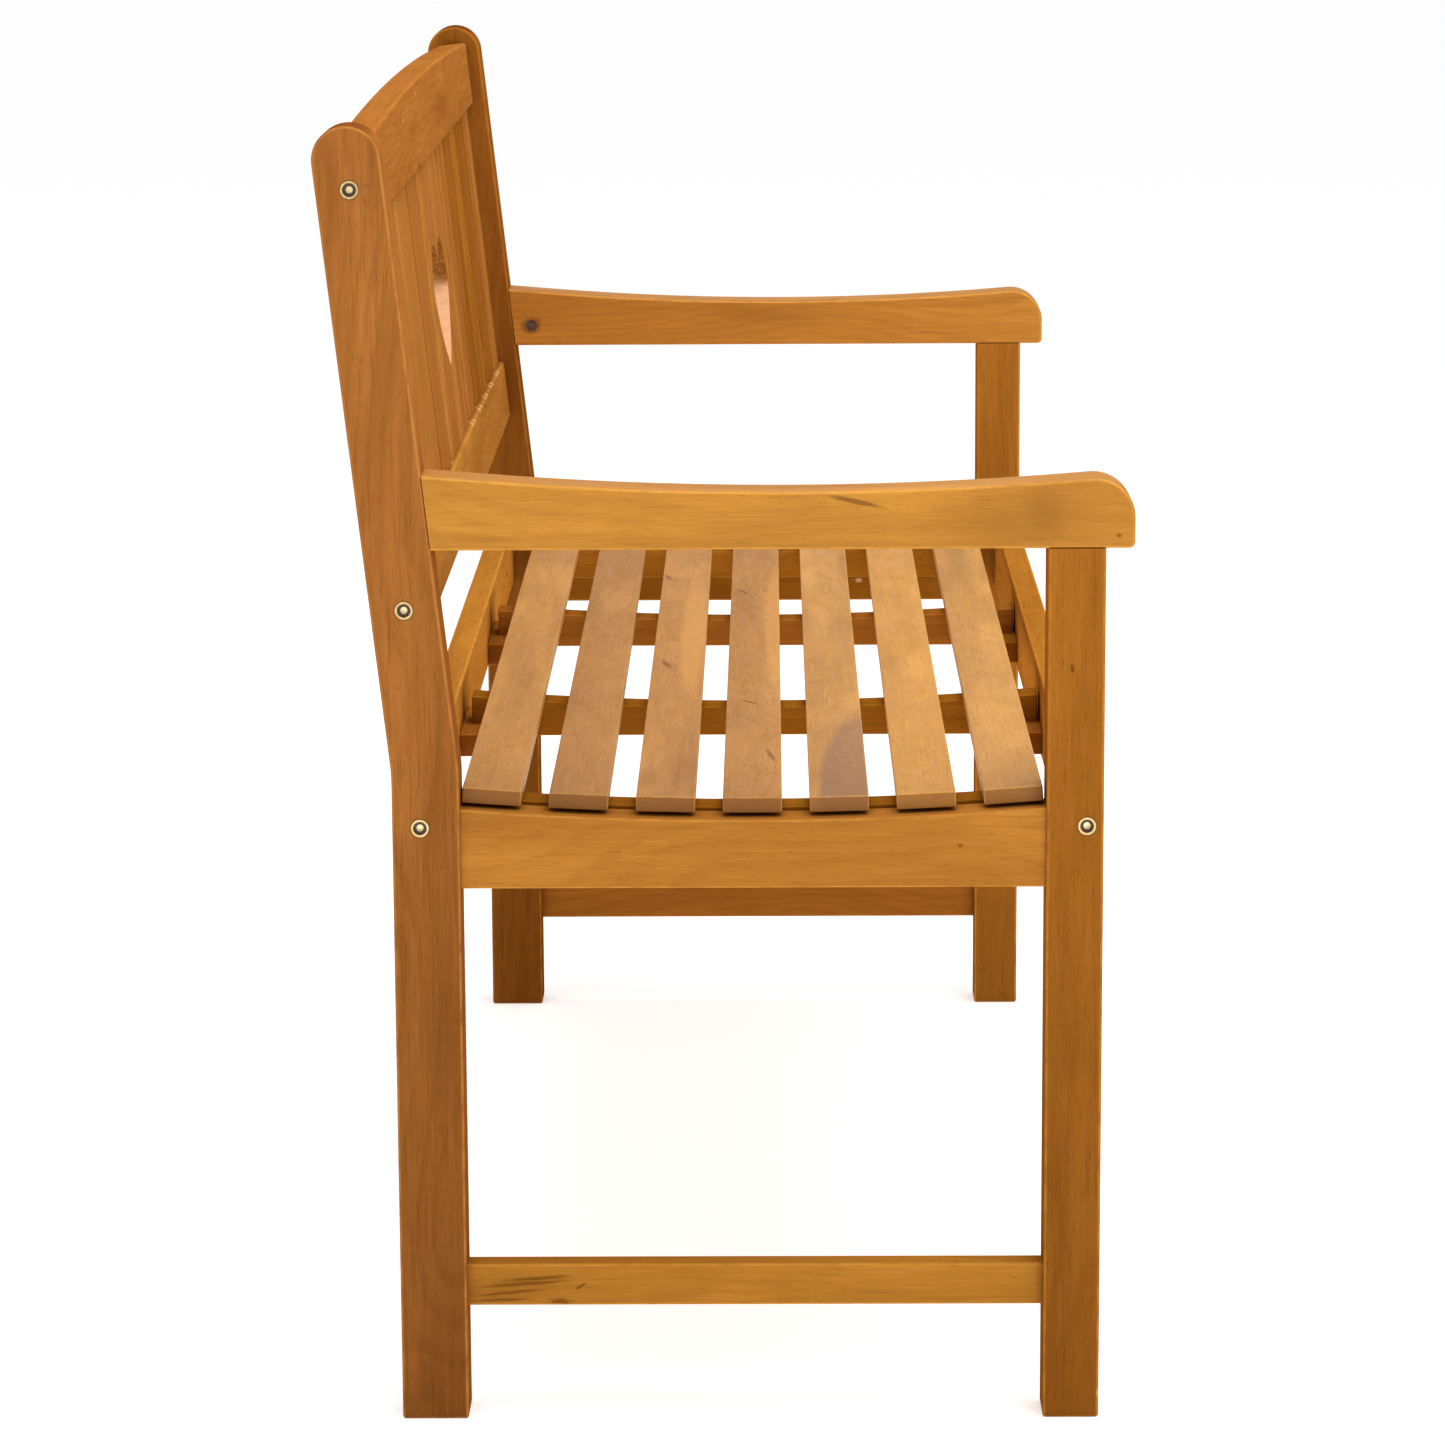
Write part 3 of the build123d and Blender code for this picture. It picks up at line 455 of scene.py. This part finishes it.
SEAT_PIECES = {
    "seat_slat_1": ((0.54, 0.250, 0.050), ALONG_X, 0.4, []),
    "seat_slat_2": ((0.47, 0.212, 0.044), ALONG_X, 0.4, []),
    "seat_slat_3": (TAN, ALONG_X, 0.45, [
        ("knot", (0.3204, 0.0586, 0.4405), (0.012, 0.002, 0.0), 0.0022),
        ("knot", (-0.0878, 0.0522, 0.4405), (0.016, 0.003, 0.0), 0.0025),
        ("sapwood", (0.0500, 0.0330, 0.4405), (0.300, 0.0, 0.0), 0.0120),
        ("shadow", (-0.5200, 0.0560, 0.4405), (0.050, 0.0, 0.0), 0.0100),
    ]),
    "seat_slat_4": (TAN, ALONG_X, 0.55, [
        ("knot", (0.2519, -0.0065, SLAT_TOP), (0.010, 0.004, 0.0), 0.0020),
        ("knot", (-0.2421, -0.0140, SLAT_TOP), (0.008, 0.006, 0.0), 0.0018),
        ("sapwood", (0.1000, -0.0350, SLAT_TOP), (0.330, 0.0, 0.0), 0.0120),
        ("streak", (-0.4400, -0.0290, SLAT_TOP), (0.030, 0.004, 0.0), 0.0024),
    ]),
    "seat_slat_5": (PALE, ALONG_X, 0.4, [
        ("heartwood", (-0.5850, -0.0965, SLAT_TOP), (0.288, 0.0, 0.0), 0.0345),
        ("shadow", (0.3858, -0.0935, SLAT_TOP), (0.110, 0.0, 0.0), 0.0080),
    ]),
    "seat_slat_6": ((0.66, 0.315, 0.058), ALONG_X, 0.35, []),
    "seat_slat_7": (PALE, ALONG_X, 0.4, [
        ("shadow", (0.3941, -0.1919, 0.4450), (0.160, 0.0, 0.0), 0.0120),
    ]),
}

# Each group has its own gloss, paleness of the corners and reach of the painted shade in the joints.
seed = 0
for pieces, gloss, wear, reach in (
    (FRAME_PIECES, 0.0, 0.5, 0.012),
    (ARM_PIECES, 0.15, 0.5, 0.012),
    (BACK_PIECES, 0.0, 0.2, 0.030),
    (SEAT_PIECES, 0.25, 0.4, 0.012),
):
    for name, (tone, turn, figure, marks) in pieces.items():
        seed += 1
        made = wood(f"wood_{name}", tone, turn, seed, figure, marks, gloss, wear, reach)
        if name == "back_heart_board":
            heart_sawn(made, tone)
        dress(name, made.material)

dowel = wood("dowel_beech", (0.62, 0.42, 0.22), ALONG_X, 60, 0.2)
dress("rail_dowels", dowel.material)
dress("armrest_dowels", dowel.material)
BRASS = (0.88, 0.66, 0.30)
leg_bolt = metal("polished_brass", BRASS, 0.22, 0.5, 3.0)
bright_rim(leg_bolt)
dress("seat_rail_bolts", leg_bolt.material)
dress("back_rail_bolts", leg_bolt.material)
dress("armrest_bolts", metal("yellow_brass", BRASS, 0.22, 0.5, 3.0).material)
dress("armrest_nuts", metal("dull_steel", (0.17, 0.13, 0.10), 0.45, 0.6, 5.0).material)
zinc = metal("zinc_steel", (0.56, 0.55, 0.52), 0.35, 0.6, 7.0).material
for name in ("seat_rail_nuts", "back_rail_nuts", "seat_slat_screws", "end_bearer_screws", "cleat_screws"):
    dress(name, zinc)


# ---- floor, light, camera ----
FLOOR_REACH = 40.0
WHITE = (1, 1, 1, 1)


def floor():
    """Pale paper, lit a little from within so that it reads as the white of the studio."""
    mesh = bpy.data.meshes.new("floor")
    corners = [(x * FLOOR_REACH, y * FLOOR_REACH, 0) for x, y in ((-1, -1), (1, -1), (1, 1), (-1, 1))]
    mesh.from_pydata(corners, [], [(0, 1, 2, 3)])
    made = bpy.data.objects.new("floor", mesh)
    bpy.context.scene.collection.objects.link(made)
    t = Tree("floor_paper")
    t.shader.inputs["Base Color"].default_value = (0.90, 0.90, 0.90, 1)
    t.shader.inputs["Roughness"].default_value = 0.9
    t.shader.inputs["Specular IOR Level"].default_value = 0.1
    t.shader.inputs["Emission Color"].default_value = WHITE
    t.shader.inputs["Emission Strength"].default_value = 0.46
    mesh.materials.append(t.material)


def area_light(name, place, target, size, watts):
    data = bpy.data.lights.new(name, "AREA")
    data.shape = "RECTANGLE"
    data.size, data.size_y = size
    data.energy = watts
    made = bpy.data.objects.new(name, data)
    made.location = place
    made.rotation_euler = (Vector(target) - Vector(place)).to_track_quat("-Z", "Y").to_euler()
    bpy.context.scene.collection.objects.link(made)


floor()
area_light("overhead", (-0.4, -0.4, 3.2), (0, 0, 0.4), (3.0, 3.0), 74)
area_light("camera_side", (-4.5, -2.5, 2.4), (0, 0, 0.5), (2.4, 2.0), 45)

world = bpy.data.worlds.new("studio")
bpy.context.scene.world = world
world.use_nodes = True
sky = world.node_tree.nodes["Background"]
sky.inputs["Color"].default_value = WHITE
sky.inputs["Strength"].default_value = 0.58

bpy.context.scene.view_settings.view_transform = "Standard"

# The camera stands off the left end, looking along the bench and slightly down.
CAMERA_PLACE = (-3.9038, -0.0290, 1.1487)
FOCAL_LENGTH = 123.56
PITCH = math.radians(11.184)
YAW = math.radians(-0.565)
ROLL = math.radians(-0.323)
ahead = Vector((math.cos(PITCH) * math.cos(YAW), -math.sin(YAW) * math.cos(PITCH), -math.sin(PITCH)))
level = ahead.cross(Vector((0, 0, 1))).normalized()
over = level.cross(ahead)
right = math.cos(ROLL) * level + math.sin(ROLL) * over
up = math.cos(ROLL) * over - math.sin(ROLL) * level
lens = bpy.data.cameras.new("camera")
lens.sensor_width = 36.0
lens.lens = FOCAL_LENGTH
camera = bpy.data.objects.new("camera", lens)
axes = Matrix((right, up, -ahead)).transposed().to_4x4()
camera.matrix_world = Matrix.Translation(CAMERA_PLACE) @ axes
bpy.context.scene.collection.objects.link(camera)
bpy.context.scene.camera = camera
